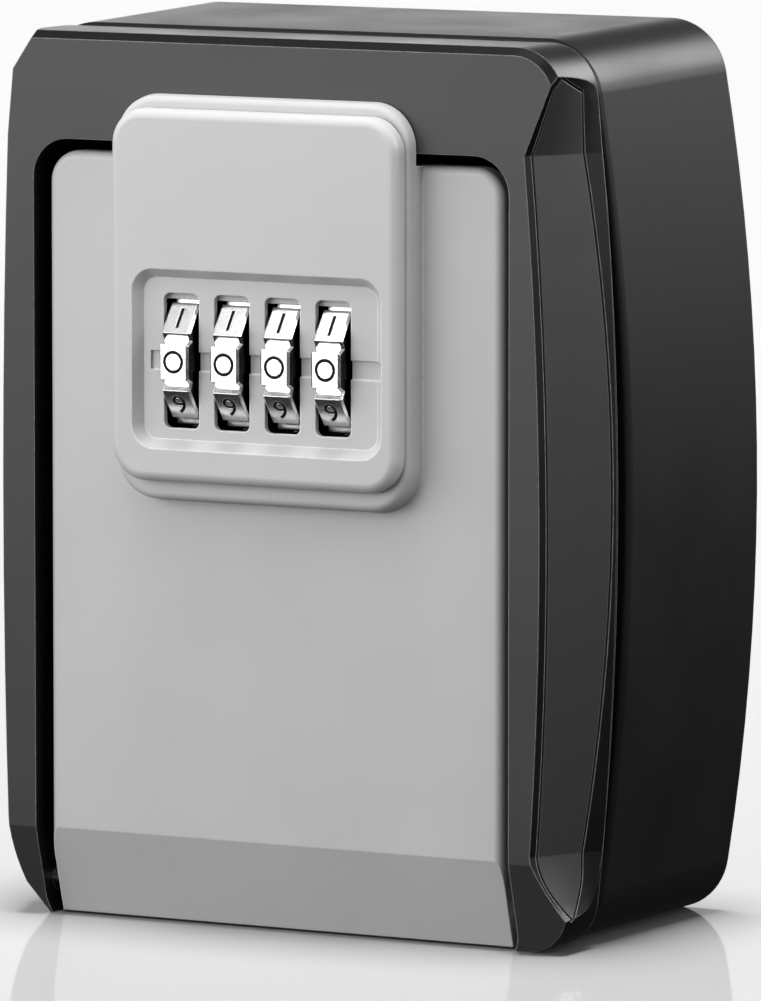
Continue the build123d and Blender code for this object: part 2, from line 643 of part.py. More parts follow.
def make_bolt_screws():
    with BuildPart() as bolt_screws:
        for x in (-BOLT_SCREW_X, BOLT_SCREW_X):
            depths = (BOLT_BACK_DEPTH - SMALL_HEAD_HEIGHT, BOLT_BACK_DEPTH, RETAINER_FRONT_DEPTH)
            add(screw(x, BOLT_SCREW_Z, SMALL_SCREW_RADIUS, SMALL_SCREW_HEAD, depths))
    return bolt_screws.part


def make_return_spring(side):
    low = SHELF_TOP + SPRING_WIRE + 0.02
    height = EAR_BOTTOM - SHELF_TOP - 2 * SPRING_WIRE - 0.04
    foot = Plane(origin=(side * SPRING_X, -SPRING_DEPTH, low))
    with BuildPart() as spring:
        with BuildLine(foot) as coil:
            Helix(pitch=height / SPRING_TURNS, height=height, radius=SPRING_RADIUS)
        with BuildSketch(Plane(origin=coil.line @ 0, z_dir=coil.line % 0)):
            Circle(SPRING_WIRE)
        sweep()
    return spring.part


def make_detent_comb():
    with BuildPart() as detent_comb:
        bar = (RETAINER_DEPTH - DETENT_BAR_HEIGHT, RETAINER_DEPTH)
        add(block(DETENT_BAR_X, bar, DETENT_BAR_Z))
        with BuildSketch(Plane.YZ.offset(-DETENT_FINGER_WIDTH / 2)):
            with BuildLine():
                Polyline(*DETENT_FINGER, close=True)
            make_face()
        finger = extrude(amount=DETENT_FINGER_WIDTH, mode=Mode.PRIVATE)
        for number in range(1, DIAL_COUNT + 1):
            add(finger.moved(Location((dial_x(number), 0, 0))))
    return detent_comb.part


def make_dial_axle():
    with BuildPart() as dial_axle:
        add(cross_rod(DIAL_DEPTH, DIAL_Z, AXLE_RADIUS, (-LUG_OUTER, LUG_OUTER)))
    return dial_axle.part


def dial_plane(x):
    """Plane across the dial axis: its local X points to the front, its local Y up."""
    return Plane(origin=(x, -DIAL_DEPTH, DIAL_Z), x_dir=(0, -1, 0), z_dir=(-1, 0, 0))


def make_dial(number):
    left = dial_x(number) - DIAL_WIDTH / 2
    right = dial_x(number) + DIAL_WIDTH / 2
    release = dial_x(number) + DIAL_RELEASE_X
    half_turn = 180 / DIAL_DIGITS
    corner_radius = DIAL_APOTHEM / cos(radians(half_turn))
    with BuildPart() as dial:
        with BuildSketch(dial_plane(right)):
            RegularPolygon(DIAL_APOTHEM, DIAL_DIGITS, major_radius=False, rotation=half_turn)
            with PolarLocations(corner_radius, DIAL_DIGITS, start_angle=half_turn):
                RegularPolygon(DIAL_NOTCH_SIZE, 4, mode=Mode.SUBTRACT)
        extrude(amount=right - left)
        chamfer(dial.faces().filter_by(Axis.X).edges(), DIAL_EDGE)
        with BuildSketch(dial_plane(right)):
            Circle(DIAL_BORE)
            with PolarLocations(DIAL_KEYWAY_RADIUS / 2, DIAL_DIGITS):
                Rectangle(DIAL_KEYWAY_RADIUS, DIAL_KEYWAY_WIDTH)
        extrude(amount=right - left, mode=Mode.SUBTRACT)
        with BuildSketch(dial_plane(release)):
            Circle(DIAL_COUNTERBORE)
        extrude(amount=release - left, mode=Mode.SUBTRACT)
    return dial.part


def make_cam_sleeve(number):
    middle = dial_x(number)
    cam_right = middle + CAM_LEFT + CAM_WIDTH
    key_right = middle + KEY_LEFT + KEY_LENGTH
    with BuildPart() as sleeve:
        with BuildSketch(dial_plane(cam_right)):
            Circle(CAM_RADIUS)
            with Locations((-CAM_FLAT - 2, 0)):
                Rectangle(4, 2 * CAM_RADIUS, mode=Mode.SUBTRACT)
        extrude(amount=CAM_WIDTH)
        add(cross_rod(DIAL_DEPTH, DIAL_Z, SLEEVE_RADIUS, (middle + CAM_LEFT, middle + SLEEVE_END)))
        with BuildSketch(dial_plane(key_right)):
            with Locations((KEY_RADIUS / 2, 0)):
                Rectangle(KEY_RADIUS, KEY_WIDTH)
        extrude(amount=KEY_LENGTH)
        ends = (middle + CAM_LEFT, middle + SLEEVE_END)
        add(cross_rod(DIAL_DEPTH, DIAL_Z, AXLE_RADIUS + RUNNING_GAP, ends), mode=Mode.SUBTRACT)
    return sleeve.part


def make_reset_slider():
    last = dial_x(DIAL_COUNT) + SLEEVE_END + RESET_END_GAP
    height = (DIAL_Z - RESET_HALF_HEIGHT, DIAL_Z + RESET_HALF_HEIGHT)
    with BuildPart() as reset_slider:
        add(block((last, LUG_INNER - 0.1), (RESET_BACK_DEPTH, RESET_FRONT_DEPTH), height))
        add(block(RESET_TAB_X, (RESET_TAB_DEPTH, RESET_BACK_DEPTH), height))
        hole = (last, LUG_INNER)
        add(cross_rod(DIAL_DEPTH, DIAL_Z, AXLE_RADIUS + RUNNING_GAP, hole), mode=Mode.SUBTRACT)
    return reset_slider.part


def save(part, node):
    """Label one finished piece and write its STEP file."""
    part.label = node
    export_step(part, f"parts/{node}.step")


def main():
    os.makedirs("parts", exist_ok=True)
    save(make_rear_shell(), "rear_shell")
    save(make_front_frame(), "front_frame")
    save(make_side_inlay(RIGHT_FACET), "right_side_inlay")
    save(make_side_inlay(LEFT_FACET).mirror(Plane.YZ), "left_side_inlay")
    save(make_frame_screws(), "frame_screws")
    save(make_hinge_pin(), "hinge_pin")
    save(make_door_panel(), "door_panel")
    save(make_lock_cover(), "lock_cover")
    save(make_cover_screws(), "cover_screws")
    save(make_fence_comb(), "fence_comb")
    save(make_slide_plate(), "slide_plate")
    save(make_slide_retainer(), "slide_retainer")
    save(make_retainer_screws(), "retainer_screws")
    save(make_latch_bolt(), "latch_bolt")
    save(make_bolt_screws(), "bolt_screws")
    save(make_return_spring(-1), "left_return_spring")
    save(make_return_spring(1), "right_return_spring")
    save(make_detent_comb(), "detent_comb")
    save(make_dial_axle(), "dial_axle")
    for number in range(1, DIAL_COUNT + 1):
        save(make_dial(number), f"dial_{number}")
        save(make_cam_sleeve(number), f"cam_sleeve_{number}")
    save(make_reset_slider(), "reset_slider")


main()
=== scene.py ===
import json
import math

import bmesh
import bpy
from mathutils import Matrix, Vector


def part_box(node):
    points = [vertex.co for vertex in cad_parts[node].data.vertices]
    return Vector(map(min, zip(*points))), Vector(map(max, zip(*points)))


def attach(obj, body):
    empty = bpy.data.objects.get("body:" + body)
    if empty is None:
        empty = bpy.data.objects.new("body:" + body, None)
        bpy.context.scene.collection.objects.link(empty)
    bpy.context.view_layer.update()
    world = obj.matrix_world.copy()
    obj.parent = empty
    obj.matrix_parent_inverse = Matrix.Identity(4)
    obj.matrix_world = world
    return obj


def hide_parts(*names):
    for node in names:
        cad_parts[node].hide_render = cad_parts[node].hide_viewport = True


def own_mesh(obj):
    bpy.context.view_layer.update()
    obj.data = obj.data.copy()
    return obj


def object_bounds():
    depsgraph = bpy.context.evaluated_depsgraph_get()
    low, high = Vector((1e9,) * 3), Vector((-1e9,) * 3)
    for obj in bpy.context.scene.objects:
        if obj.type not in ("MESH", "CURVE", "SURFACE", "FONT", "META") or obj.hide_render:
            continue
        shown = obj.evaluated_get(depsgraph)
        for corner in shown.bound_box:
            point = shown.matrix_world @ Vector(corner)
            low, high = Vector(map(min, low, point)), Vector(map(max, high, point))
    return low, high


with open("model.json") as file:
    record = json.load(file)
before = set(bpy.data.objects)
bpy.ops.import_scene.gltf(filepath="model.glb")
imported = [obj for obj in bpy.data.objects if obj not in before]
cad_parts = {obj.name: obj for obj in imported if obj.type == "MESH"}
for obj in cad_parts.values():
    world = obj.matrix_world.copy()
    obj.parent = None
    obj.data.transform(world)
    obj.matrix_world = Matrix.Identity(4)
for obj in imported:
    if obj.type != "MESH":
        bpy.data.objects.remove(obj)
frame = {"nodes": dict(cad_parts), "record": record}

# Looks of the key lock box. Metres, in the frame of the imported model: +Z is up the wall and
# the front faces -Y.

MM = 0.001
CAD_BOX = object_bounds()
NODES = frame["nodes"]

# Camera: where it stands as seen from the frame's origin, in degrees and metres, and how far
# the middle of the picture lies beside and below that origin
CAMERA_AZIMUTH = 28.24
CAMERA_ELEVATION = 6.17
CAMERA_DISTANCE = 1.3457
CAMERA_LENS_MM = 488.5
CAMERA_SENSOR_MM = 36.0
CAMERA_NEAREST = 0.05
CAMERA_FARTHEST = 100.0
AIM_SIDEWAYS = -8.08 * MM
AIM_UP = -6.54 * MM

# Floor: half its side, its colour and roughness, and how strong and how blurred its
# reflection is
FLOOR_HALF = 40.0
FLOOR_COLOR = (0.88, 0.88, 0.88)
FLOOR_ROUGHNESS = 0.9
FLOOR_POLISH = 0.42
FLOOR_BLUR = 0.06

# Light from straight above: its strength, and how wide the source is
SUN_POWER = 3.3
SUN_ANGLE = math.radians(20)

# Soft boxes: name, azimuth and elevation in degrees, distance from the middle of the case in
# metres, width and height in metres, and power in watts
SOFT_BOXES = (
    ("key_light", -36, 15, 0.50, (0.80, 0.36), 2.9),
    ("top_light", -10, 62, 0.60, (0.50, 0.30), 1.2),
    ("right_light", 88, 30, 0.60, (0.25, 0.25), 1.9),
    ("rim_light", 205, 9, 0.90, (0.70, 0.22), 0.7),
    ("back_light", 152, 28, 0.80, (0.35, 0.35), 3.0),
)

# Brightness of the surroundings by the sine of the height above the horizon
WORLD_SHADES = ((-0.06, 0.03), (0.0, 0.95), (0.10, 0.95), (0.22, 0.20), (1.0, 0.20))

# Sockets of the Mix node in its colour mode
MIX_FACTOR, MIX_FIRST, MIX_SECOND, MIX_RESULT = 0, 6, 7, 2

# Softened edges: how many samples, and the cosines between the softened and the true normal
# where the painted edge highlight begins and where it is full
EDGE_SAMPLES = 6
EDGE_COSINES = (0.995, 0.90)

# Stretch of a noise's values that is spread over a whole change of colour, gloss or painted
# edge highlight
COLOR_RANGE = (0.35, 0.65)
CLOUD_RANGE = (0.4, 0.7)
GLOSS_RANGE = (0.3, 0.7)
SPECKLE_RANGE = (0.3, 0.6)

# Sprayed coats: cosines between which a surface stops counting as facing front or back and
# takes the painted shade of the flanks, sizes of the patches and specks, tone of a patch, least
# strength of the painted edge highlight, and change of roughness
FACING_COSINES = (0.93, 0.90)
COAT_PATCH = 14 * MM
COAT_SPECK = 0.8 * MM
COAT_PATCH_TONE = 0.96
COAT_LEAST_EDGE_HIGHLIGHT = 0.5
COAT_ROUGHNESS_CHANGE = (-0.03, 0.04)
ORANGE_PEEL = 0.45 * MM
ORANGE_PEEL_HEIGHT = 0.004 * MM

# Moulded plastic. The edge gain and lift lighten its edges as a painted highlight
MOULDED_EDGE = 0.25 * MM
MOULDED_PATCH = 10 * MM
MOULDED_PATCH_TONE = 0.82
MOULDED_EDGE_GAIN = 2.2
MOULDED_EDGE_LIFT = 0.02
MOULDED_ROUGHNESS_CHANGE = (-0.05, 0.06)
MOULDED_GRAIN = 0.25 * MM
MOULDED_GRAIN_HEIGHT = 0.008 * MM

# Plated metal
PLATED_EDGE = 0.12 * MM
PLATED_CLOUD = 2.5 * MM
PLATED_CLOUD_TONE = 0.80
PLATED_ROUGHNESS_FACTORS = (0.8, 1.4)
PLATED_GRAIN = 0.15 * MM

# Dials: their colours, the last a painted shade on the side faces, the cosines between which
# a surface turns from rim to side face, and the clouds and grain of the plating
DIAL_BRIGHT = (0.88, 0.88, 0.88)
DIAL_CLOUDED = (0.72, 0.72, 0.72)
DIAL_SIDE_SHADE = (0.006, 0.006, 0.006)
DIAL_SIDE_COSINES = (0.86, 0.94)
DIAL_CLOUD = 1.5 * MM
DIAL_ROUGHNESS = 0.16
DIAL_ROUGHNESS_RANGE = (0.12, 0.24)
DIAL_GRAIN = 0.2 * MM
DIAL_GRAIN_STRETCH = (8.0, 1.0, 1.0)
DIAL_GRAIN_HEIGHT = 0.002 * MM

# Paint in the digits
PAINT_COLOR = (0.006, 0.006, 0.006)
PAINT_SPECULAR = 0.1
PAINT_ROUGHNESS = 0.55
PAINT_ROUGHNESS_RANGE = (0.45, 0.65)
PAINT_GRAIN = 0.2 * MM
PAINT_GRAIN_HEIGHT = 0.01 * MM

# Dials and their digits. The overshoot is how far the cutter stands out of a pad.
DIAL_NUMBERS = (1, 2, 3, 4)
DIGITS = 10
DIGIT_HEIGHT = 2.9 * MM
DIGIT_STROKE = 0.38 * MM
CURVE_STEPS = 4
ZERO_SIDES = 40
ENGRAVING_DEPTH = 0.25 * MM
ENGRAVING_OVERSHOOT = 0.2 * MM
PAINT_SUNK = 0.06 * MM
WELD_DISTANCE = 0.0005 * MM
SMOOTH_ANGLE = math.radians(30)

# Return springs
RETURN_SPRINGS = ("left_return_spring", "right_return_spring")


# ---- Procedural materials -------------------------------------------------------------------

def new_material(name, color, metallic, roughness):
    """A Principled material, its node tree and its shader."""
    material = bpy.data.materials.new(name)
    material.use_nodes = True
    tree = material.node_tree
    shader = tree.nodes["Principled BSDF"]
    shader.inputs["Base Color"].default_value = (*color, 1.0)
    shader.inputs["Metallic"].default_value = metallic
    shader.inputs["Roughness"].default_value = roughness
    return material, tree, shader


def surface_position(tree, stretch=(1.0, 1.0, 1.0)):
    """Position on the piece itself, in metres, with each axis multiplied by its stretch."""
    coordinate = tree.nodes.new("ShaderNodeTexCoord")
    mapping = tree.nodes.new("ShaderNodeMapping")
    mapping.inputs["Scale"].default_value = stretch
    tree.links.new(coordinate.outputs["Object"], mapping.inputs["Vector"])
    return mapping.outputs["Vector"]


def noise(tree, feature, detail=2.0, stretch=(1.0, 1.0, 1.0)):
    """Noise from 0 to 1 whose features are about that many metres across."""
    texture = tree.nodes.new("ShaderNodeTexNoise")
    texture.inputs["Scale"].default_value = 1.0 / feature
    texture.inputs["Detail"].default_value = detail
    tree.links.new(surface_position(tree, stretch), texture.inputs["Vector"])
    return texture.outputs["Fac"]


def remap(tree, signal, source, target=(0.0, 1.0)):
    """The signal with one range carried to another, and held inside it."""
    ramp = tree.nodes.new("ShaderNodeMapRange")
    ramp.inputs["From Min"].default_value = source[0]
    ramp.inputs["From Max"].default_value = source[1]
    ramp.inputs["To Min"].default_value = target[0]
    ramp.inputs["To Max"].default_value = target[1]
    tree.links.new(signal, ramp.inputs["Value"])
    return ramp.outputs["Result"]


def multiply(tree, first, second):
    """Product of two signals."""
    product = tree.nodes.new("ShaderNodeMath")
    product.operation = "MULTIPLY"
    tree.links.new(first, product.inputs[0])
    tree.links.new(second, product.inputs[1])
    return product.outputs["Value"]


def mix_colors(tree, factor, first, second):
    """Mixes towards the second colour as the factor rises. The first is a colour or an
    output."""
    mix = tree.nodes.new("ShaderNodeMix")
    mix.data_type = "RGBA"
    if isinstance(first, bpy.types.NodeSocket):
        tree.links.new(first, mix.inputs[MIX_FIRST])
    else:
        mix.inputs[MIX_FIRST].default_value = (*first, 1.0)
    mix.inputs[MIX_SECOND].default_value = (*second, 1.0)
    tree.links.new(factor, mix.inputs[MIX_FACTOR])
    return mix.outputs[MIX_RESULT]


def scaled(color, factor):
    """A colour with each channel multiplied."""
    return tuple(factor * channel for channel in color)


def rounded_normal(tree, radius):
    """Normal of the surface with its edges softened by a radius."""
    softened = tree.nodes.new("ShaderNodeBevel")
    softened.samples = EDGE_SAMPLES
    softened.inputs["Radius"].default_value = radius
    return softened.outputs["Normal"]


def edge_mask(tree, normal):
    """1 where the softened normal leaves the true one, so along edges, and 0 on flat
    stretches."""
    geometry = tree.nodes.new("ShaderNodeNewGeometry")
    dot = tree.nodes.new("ShaderNodeVectorMath")
    dot.operation = "DOT_PRODUCT"
    tree.links.new(normal, dot.inputs[0])
    tree.links.new(geometry.outputs["Normal"], dot.inputs[1])
    return remap(tree, dot.outputs["Value"], EDGE_COSINES)


def bump(tree, shader, signal, height, normal=None):
    """Raises the surface by up to that many metres, on top of a softened normal."""
    node = tree.nodes.new("ShaderNodeBump")
    node.inputs["Strength"].default_value = 1.0
    node.inputs["Distance"].default_value = height
    tree.links.new(signal, node.inputs["Height"])
    if normal is not None:
        tree.links.new(normal, node.inputs["Normal"])
    tree.links.new(node.outputs["Normal"], shader.inputs["Normal"])


def own_normal(tree, axis):
    """Size of one component of the piece's own surface normal, from 0 to 1."""
    coordinate = tree.nodes.new("ShaderNodeTexCoord")
    parts = tree.nodes.new("ShaderNodeSeparateXYZ")
    tree.links.new(coordinate.outputs["Normal"], parts.inputs["Vector"])
    size = tree.nodes.new("ShaderNodeMath")
    size.operation = "ABSOLUTE"
    tree.links.new(parts.outputs[axis], size.inputs[0])
    return size.outputs["Value"]


def coated_casting(name, color, roughness, edge_highlight, edge, specular=0.5, flank_shade=None):
    """Sprayed coat on a casting: fine orange peel, uneven gloss, and a painted highlight that
    lightens the edges, more in some specks than in others. The flank colour, if given, is a
    painted shade on the surfaces that face neither the front nor the back."""
    material, tree, shader = new_material(name, color, 0.0, roughness)
    shader.inputs["Specular IOR Level"].default_value = specular
    normal = rounded_normal(tree, edge)
    patches = noise(tree, COAT_PATCH, 3.0)
    specks = noise(tree, COAT_SPECK)
    patched = remap(tree, patches, COLOR_RANGE, (1.0, 0.0))
    coat = mix_colors(tree, patched, color, scaled(color, COAT_PATCH_TONE))
    # Painted shade: surfaces that face neither front nor back are coloured near-black, as the
    # shadow in gaps and grooves.
    if flank_shade is not None:
        flank_shade_mask = remap(tree, own_normal(tree, "Y"), FACING_COSINES)
        coat = mix_colors(tree, flank_shade_mask, coat, flank_shade)
    # Painted highlight: the edges are lightened towards a pale colour, more in some specks than in
    # others.
    edge_highlight_specks = remap(tree, specks, SPECKLE_RANGE, (COAT_LEAST_EDGE_HIGHLIGHT, 1.0))
    edge_highlight_mask = multiply(tree, edge_mask(tree, normal), edge_highlight_specks)
    tree.links.new(mix_colors(tree, edge_highlight_mask, coat, edge_highlight), shader.inputs["Base Color"])
    roughnesses = [roughness + change for change in COAT_ROUGHNESS_CHANGE]
    gloss = remap(tree, patches, GLOSS_RANGE, roughnesses)
    tree.links.new(gloss, shader.inputs["Roughness"])
    bump(tree, shader, noise(tree, ORANGE_PEEL), ORANGE_PEEL_HEIGHT, normal)
    return material


def moulded(name, color, roughness):
    """Moulded plastic with a fine spark-eroded texture and edges lightened by a painted highlight.
    """
    material, tree, shader = new_material(name, color, 0.0, roughness)
    normal = rounded_normal(tree, MOULDED_EDGE)
    patches = noise(tree, MOULDED_PATCH)
    patched = remap(tree, patches, COLOR_RANGE)
    body = mix_colors(tree, patched, color, scaled(color, MOULDED_PATCH_TONE))
    # Painted highlight: the edges are lightened well past the plastic's own colour.
    edge_highlight_tint = tuple(
        min(1.0, channel + MOULDED_EDGE_LIFT) for channel in scaled(color, MOULDED_EDGE_GAIN))
    edged = mix_colors(tree, edge_mask(tree, normal), body, edge_highlight_tint)
    tree.links.new(edged, shader.inputs["Base Color"])
    roughnesses = [roughness + change for change in MOULDED_ROUGHNESS_CHANGE]
    gloss = remap(tree, patches, GLOSS_RANGE, roughnesses)
    tree.links.new(gloss, shader.inputs["Roughness"])
    bump(tree, shader, noise(tree, MOULDED_GRAIN, 3.0), MOULDED_GRAIN_HEIGHT, normal)
    return material


def plated(name, color, roughness, grain_stretch, grain_height):
    """Plated or bright metal: clouded colour and gloss, and a fine grain."""
    material, tree, shader = new_material(name, color, 1.0, roughness)
    normal = rounded_normal(tree, PLATED_EDGE)
    clouds = noise(tree, PLATED_CLOUD, 3.0)
    clouded = remap(tree, clouds, CLOUD_RANGE)
    body = mix_colors(tree, clouded, color, scaled(color, PLATED_CLOUD_TONE))
    tree.links.new(body, shader.inputs["Base Color"])
    roughnesses = [factor * roughness for factor in PLATED_ROUGHNESS_FACTORS]
    gloss = remap(tree, clouds, GLOSS_RANGE, roughnesses)
    tree.links.new(gloss, shader.inputs["Roughness"])
    grain = noise(tree, PLATED_GRAIN, stretch=grain_stretch)
    bump(tree, shader, grain, grain_height, normal)
    return material


def dial_plating(name):
    """Bright plated rim on a dial whose two side faces are painted near-black as shade."""
    material, tree, shader = new_material(name, DIAL_BRIGHT, 1.0, DIAL_ROUGHNESS)
    normal = rounded_normal(tree, PLATED_EDGE)
    clouds = noise(tree, DIAL_CLOUD, 3.0)
    # Painted shade: the side faces turn near-black, as the shadow in the dial slots.
    side = remap(tree, own_normal(tree, "X"), DIAL_SIDE_COSINES)
    rim = mix_colors(tree, remap(tree, clouds, CLOUD_RANGE), DIAL_BRIGHT, DIAL_CLOUDED)
    tree.links.new(mix_colors(tree, side, rim, DIAL_SIDE_SHADE), shader.inputs["Base Color"])
    gloss = remap(tree, clouds, GLOSS_RANGE, DIAL_ROUGHNESS_RANGE)
    tree.links.new(gloss, shader.inputs["Roughness"])
    grain = noise(tree, DIAL_GRAIN, stretch=DIAL_GRAIN_STRETCH)
    bump(tree, shader, grain, DIAL_GRAIN_HEIGHT, normal)
    return material


def digit_paint(name):
    """Matte black filling of the engraved digits."""
    material, tree, shader = new_material(name, PAINT_COLOR, 0.0, PAINT_ROUGHNESS)
    shader.inputs["Specular IOR Level"].default_value = PAINT_SPECULAR
    grain = noise(tree, PAINT_GRAIN)
    gloss = remap(tree, grain, GLOSS_RANGE, PAINT_ROUGHNESS_RANGE)
    tree.links.new(gloss, shader.inputs["Roughness"])
    bump(tree, shader, grain, PAINT_GRAIN_HEIGHT)
    return material


def slot_materials():
    """One material for each of the record's finish slots."""
    even = (1.0, 1.0, 1.0)
    return {
        # The fourth value of each coated casting is the colour of its painted edge highlight.
        "case_black": coated_casting(
            "case_black", (0.007, 0.007, 0.007), 0.36, (0.03, 0.03, 0.03), 0.5 * MM,
            specular=0.25),
        # The frame's flank colour is a painted shade on its side faces and groove walls.
        "frame_grey": coated_casting(
            "frame_grey", (0.036, 0.036, 0.036), 0.34, (0.40, 0.40, 0.40), 0.18 * MM,
            specular=0.30, flank_shade=(0.003, 0.003, 0.003)),
        "inlay_grey": moulded("inlay_grey", (0.032, 0.032, 0.032), 0.45),
        "door_silver": coated_casting(
            "door_silver", (0.46, 0.46, 0.46), 0.42, (0.88, 0.88, 0.88), 0.3 * MM),
        "slide_silver": coated_casting(
            "slide_silver", (0.48, 0.48, 0.48), 0.38, (0.90, 0.90, 0.90), 0.25 * MM),
        "dial_chrome": dial_plating("dial_chrome"),
        "zinc_steel": plated("zinc_steel", (0.60, 0.60, 0.62), 0.30, even, 0.004 * MM),
        "polished_steel": plated(
            "polished_steel", (0.66, 0.66, 0.67), 0.16, (0.1, 1.0, 1.0), 0.002 * MM),
        "spring_steel": plated("spring_steel", (0.50, 0.50, 0.52), 0.22, even, 0.002 * MM),
        "cover_black": moulded("cover_black", (0.018, 0.018, 0.018), 0.50),
        "brass": plated("brass", (0.72, 0.52, 0.24), 0.24, (4.0, 1.0, 1.0), 0.003 * MM),
    }


def dress(piece, material):
    """Gives a piece one material in place of any that it has."""
    piece.data.materials.clear()
    piece.data.materials.append(material)


def dress_nodes(materials):
    """Gives each CAD node the material of its slot in the record."""
    for row in frame["record"]["subparts"]:
        dress(NODES[row["node"]], materials[row["material_slot"]])


# ---- Objects and meshes ---------------------------------------------------------------------

def new_object(name, data):
    """An object in the scene with that mesh, curve, camera or light."""
    added = bpy.data.objects.new(name, data)
    bpy.context.scene.collection.objects.link(added)
    return added


def evaluated_mesh(piece):
    """A new mesh of an object as its modifiers leave it."""
    depsgraph = bpy.context.evaluated_depsgraph_get()
    return bpy.data.meshes.new_from_object(piece.evaluated_get(depsgraph))


def welded_copy(node):
    """A CAD node's mesh with its corners joined, as a boolean needs it, and no stored
    normals."""
    source = NODES[node].data
    faces = [tuple(face.vertices) for face in source.polygons]
    mesh = bpy.data.meshes.new(f"{node}_wheel")
    mesh.from_pydata([tuple(vertex.co) for vertex in source.vertices], [], faces)
    closed = bmesh.new()
    closed.from_mesh(mesh)
    bmesh.ops.remove_doubles(closed, verts=closed.verts, dist=WELD_DISTANCE)
    closed.to_mesh(mesh)
    closed.free()
    return mesh


# ---- Dial digits ----------------------------------------------------------------------------

def digit_mesh(digit):
    """A digit from 1 to 9 as a plate one metre thick, of the wanted height and facing local
    +Z."""
    curve = bpy.data.curves.new("digit_outline", "FONT")
    curve.body = str(digit)
    curve.extrude = 0.5
    curve.resolution_u = CURVE_STEPS
    text = new_object("digit_outline", curve)
    mesh = evaluated_mesh(text)
    bpy.data.objects.remove(text)
    low = Vector([min(vertex.co[axis] for vertex in mesh.vertices) for axis in range(3)])
    high = Vector([max(vertex.co[axis] for vertex in mesh.vertices) for axis in range(3)])
    size = high - low
    scale = DIGIT_HEIGHT / size.y
    mesh.transform(Matrix.Translation(-(low + high) / 2))
    mesh.transform(Matrix.Diagonal((scale, scale, 1.0 / size.z, 1.0)))
    return mesh


def zero_mesh():
    """The round ring that stands for 0, as a closed plate one metre thick."""
    ring = bmesh.new()
    turns = [2 * math.pi * side / ZERO_SIDES for side in range(ZERO_SIDES)]
    loops = []
    for radius in (DIGIT_HEIGHT / 2, DIGIT_HEIGHT / 2 - DIGIT_STROKE):
        for level in (-0.5, 0.5):
            corners = [(radius * math.cos(turn), radius * math.sin(turn), level) for turn in turns]
            loops.append([ring.verts.new(corner) for corner in corners])
    outer_low, outer_high, inner_low, inner_high = loops
    strips = (
        (outer_low, outer_high), (outer_high, inner_high),
        (inner_high, inner_low), (inner_low, outer_low),
    )
    for side in range(ZERO_SIDES):
        following = (side + 1) % ZERO_SIDES
        for first, second in strips:
            ring.faces.new((first[side], first[following], second[following], second[side]))
    mesh = bpy.data.meshes.new("zero")
    ring.to_mesh(mesh)
    ring.free()
    return mesh


def pad_matrix(centre, radius, digit):
    """Stands a digit on its pad. Digit 0 faces the front, and 1 comes next above it."""
    angle = 2 * math.pi * digit / DIGITS
    outward = Vector((0.0, -math.cos(angle), math.sin(angle)))
    upward = Vector((0.0, math.sin(angle), math.cos(angle)))
    rotation = Matrix((Vector((1.0, 0.0, 0.0)), upward, outward)).transposed()
    return Matrix.Translation(centre + outward * radius) @ rotation.to_4x4()


def digit_ring(name, meshes, number, inner, outer):
    """One mesh of all ten digits round one dial, between two distances from its axis."""
    low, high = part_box(f"dial_{number}")
    centre = (low + high) / 2
    thickness = Matrix.Diagonal((1.0, 1.0, outer - inner, 1.0))
    joined = bmesh.new()
    for digit, mesh in enumerate(meshes):
        placed = mesh.copy()
        placed.transform(pad_matrix(centre, (inner + outer) / 2, digit) @ thickness)
        joined.from_mesh(placed)
        bpy.data.meshes.remove(placed)
    bmesh.ops.remove_doubles(joined, verts=joined.verts, dist=WELD_DISTANCE)
    ring = bpy.data.meshes.new(name)
    joined.to_mesh(ring)
    joined.free()
    return ring


def make_engraved_dial(number, meshes, plating, paint):
    """One dial with its ten digits cut into the pads and filled with paint."""
    node = f"dial_{number}"
    low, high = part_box(node)
    face = (high.y - low.y) / 2
    floor = face - ENGRAVING_DEPTH
    wheel = new_object("uncut_wheel", welded_copy(node))
    groove = digit_ring("grooves", meshes, number, floor, face + ENGRAVING_OVERSHOOT)
    cutter = new_object("grooves", groove)
    cut = wheel.modifiers.new("engrave", "BOOLEAN")
    cut.operation = "DIFFERENCE"
    cut.solver = "EXACT"
    cut.object = cutter
    engraved = new_object(f"{node}_wheel", evaluated_mesh(wheel))
    for scaffold in (wheel, cutter):
        bpy.data.objects.remove(scaffold)
    engraved.data.shade_smooth()
    engraved.data.set_sharp_from_angle(angle=SMOOTH_ANGLE)
    dress(engraved, plating)
    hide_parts(node)
    filling = digit_ring(f"{node}_digits", meshes, number, floor, face - PAINT_SUNK)
    digits = new_object(f"{node}_digits", filling)
    dress(digits, paint)
    for piece in (engraved, digits):
        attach(piece, f"dial_body_{number}")


def make_dials():
    """The four dials, which share their digits, plating and paint."""
    meshes = [zero_mesh()] + [digit_mesh(digit) for digit in range(1, DIGITS)]
    plating = NODES["dial_1"].data.materials[0]
    paint = digit_paint("digit_black")
    for number in DIAL_NUMBERS:
        make_engraved_dial(number, meshes, plating, paint)


# ---- Return springs -------------------------------------------------------------------------

def make_spring(node):
    """Copy of a return spring that rides with the slide, in place of its CAD node."""
    spring = new_object(f"{node}_coil", NODES[node].data.copy())
    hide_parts(node)
    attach(spring, "slide")
    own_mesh(spring)


# ---- Studio ---------------------------------------------------------------------------------

def direction(azimuth, elevation):
    """Unit vector away from the case, from degrees. Azimuth 0 is the front, and 90 is the
    right as seen from the front."""
    azimuth, elevation = math.radians(azimuth), math.radians(elevation)
    return Vector((
        math.sin(azimuth) * math.cos(elevation),
        -math.cos(azimuth) * math.cos(elevation),
        math.sin(elevation),
    ))


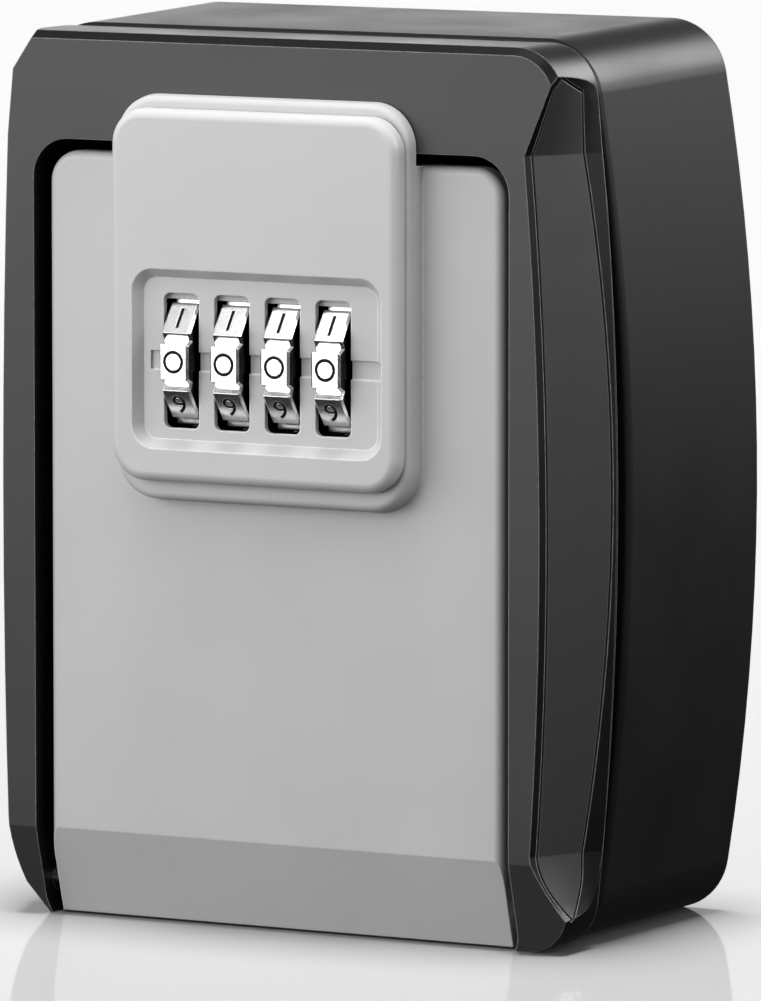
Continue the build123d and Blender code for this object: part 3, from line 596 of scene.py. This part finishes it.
def make_camera():
    """Long-lens camera at the front right, which looks slightly down on the case."""
    back = direction(CAMERA_AZIMUTH, CAMERA_ELEVATION)
    azimuth = math.radians(CAMERA_AZIMUTH)
    right = Vector((math.cos(azimuth), math.sin(azimuth), 0.0))
    up = right.cross(-back)
    camera = new_object("camera", bpy.data.cameras.new("camera"))
    camera.data.lens = CAMERA_LENS_MM
    camera.data.sensor_width = CAMERA_SENSOR_MM
    camera.data.sensor_fit = "HORIZONTAL"
    camera.data.clip_start = CAMERA_NEAREST
    camera.data.clip_end = CAMERA_FARTHEST
    camera.location = back * CAMERA_DISTANCE
    aim = right * AIM_SIDEWAYS + up * AIM_UP
    camera.rotation_mode = "QUATERNION"
    camera.rotation_quaternion = (aim - camera.location).to_track_quat("-Z", "Y")
    bpy.context.scene.camera = camera


def floor_material():
    """Plain white floor with a slightly blurred reflection."""
    material, tree, shader = new_material("floor_white", FLOOR_COLOR, 0.0, FLOOR_ROUGHNESS)
    shader.inputs["Specular IOR Level"].default_value = 0.0
    polish = tree.nodes.new("ShaderNodeBsdfGlossy")
    polish.inputs["Roughness"].default_value = FLOOR_BLUR
    mix = tree.nodes.new("ShaderNodeMixShader")
    mix.inputs["Fac"].default_value = FLOOR_POLISH
    tree.links.new(shader.outputs["BSDF"], mix.inputs[1])
    tree.links.new(polish.outputs["BSDF"], mix.inputs[2])
    tree.links.new(mix.outputs["Shader"], tree.nodes["Material Output"].inputs["Surface"])
    return material


def make_floor():
    """Plain white floor under the case. It doesn't light the case and isn't mirrored in it."""
    half, height = FLOOR_HALF, CAD_BOX[0].z
    signs = ((-1, -1), (1, -1), (1, 1), (-1, 1))
    mesh = bpy.data.meshes.new("floor")
    mesh.from_pydata([(half * x, half * y, height) for x, y in signs], [], [(0, 1, 2, 3)])
    mesh.materials.append(floor_material())
    floor = new_object("floor", mesh)
    floor.visible_diffuse = False
    floor.visible_glossy = False
    return floor


def soft_light(name, azimuth, elevation, distance, size, power, left_out):
    """Rectangular soft box that points at the middle of the case and lights everything but
    one collection."""
    light = bpy.data.lights.new(name, "AREA")
    light.shape = "RECTANGLE"
    light.size, light.size_y = size
    light.energy = power
    lamp = new_object(name, light)
    away = direction(azimuth, elevation)
    middle = (CAD_BOX[0] + CAD_BOX[1]) / 2
    lamp.location = middle + away * distance
    lamp.rotation_mode = "QUATERNION"
    lamp.rotation_quaternion = away.to_track_quat("Z", "Y")
    lamp.visible_camera = False
    lamp.light_linking.receiver_collection = left_out
    left_out.collection_objects[0].light_linking.link_state = "EXCLUDE"


def sun_light():
    """Soft light from straight above, which whitens the floor and hardly touches the upright
    faces."""
    light = bpy.data.lights.new("overhead_light", "SUN")
    light.energy = SUN_POWER
    light.angle = SUN_ANGLE
    new_object("overhead_light", light).visible_glossy = False


def make_world():
    """Surroundings that are dark below the horizon, bright just above it and dim overhead."""
    world = bpy.data.worlds.new("studio")
    world.use_nodes = True
    bpy.context.scene.world = world
    tree = world.node_tree
    coordinate = tree.nodes.new("ShaderNodeTexCoord")
    parts = tree.nodes.new("ShaderNodeSeparateXYZ")
    tree.links.new(coordinate.outputs["Generated"], parts.inputs["Vector"])
    ramp = tree.nodes.new("ShaderNodeValToRGB")
    shades = ramp.color_ramp.elements
    while len(shades) < len(WORLD_SHADES):
        shades.new(1.0)
    for shade, (height, level) in zip(shades, WORLD_SHADES):
        shade.position = (height + 1) / 2
        shade.color = (level, level, level, 1.0)
    tree.links.new(remap(tree, parts.outputs["Z"], (-1.0, 1.0)), ramp.inputs["Fac"])
    tree.links.new(ramp.outputs["Color"], tree.nodes["Background"].inputs["Color"])


def make_studio():
    """Camera, surroundings, floor and lights."""
    make_camera()
    make_world()
    floor_only = bpy.data.collections.new("floor_only")
    floor_only.objects.link(make_floor())
    sun_light()
    for soft_box in SOFT_BOXES:
        soft_light(*soft_box, floor_only)
    bpy.context.scene.view_settings.view_transform = "Standard"


make_studio()
dress_nodes(slot_materials())
make_dials()
for spring_node in RETURN_SPRINGS:
    make_spring(spring_node)
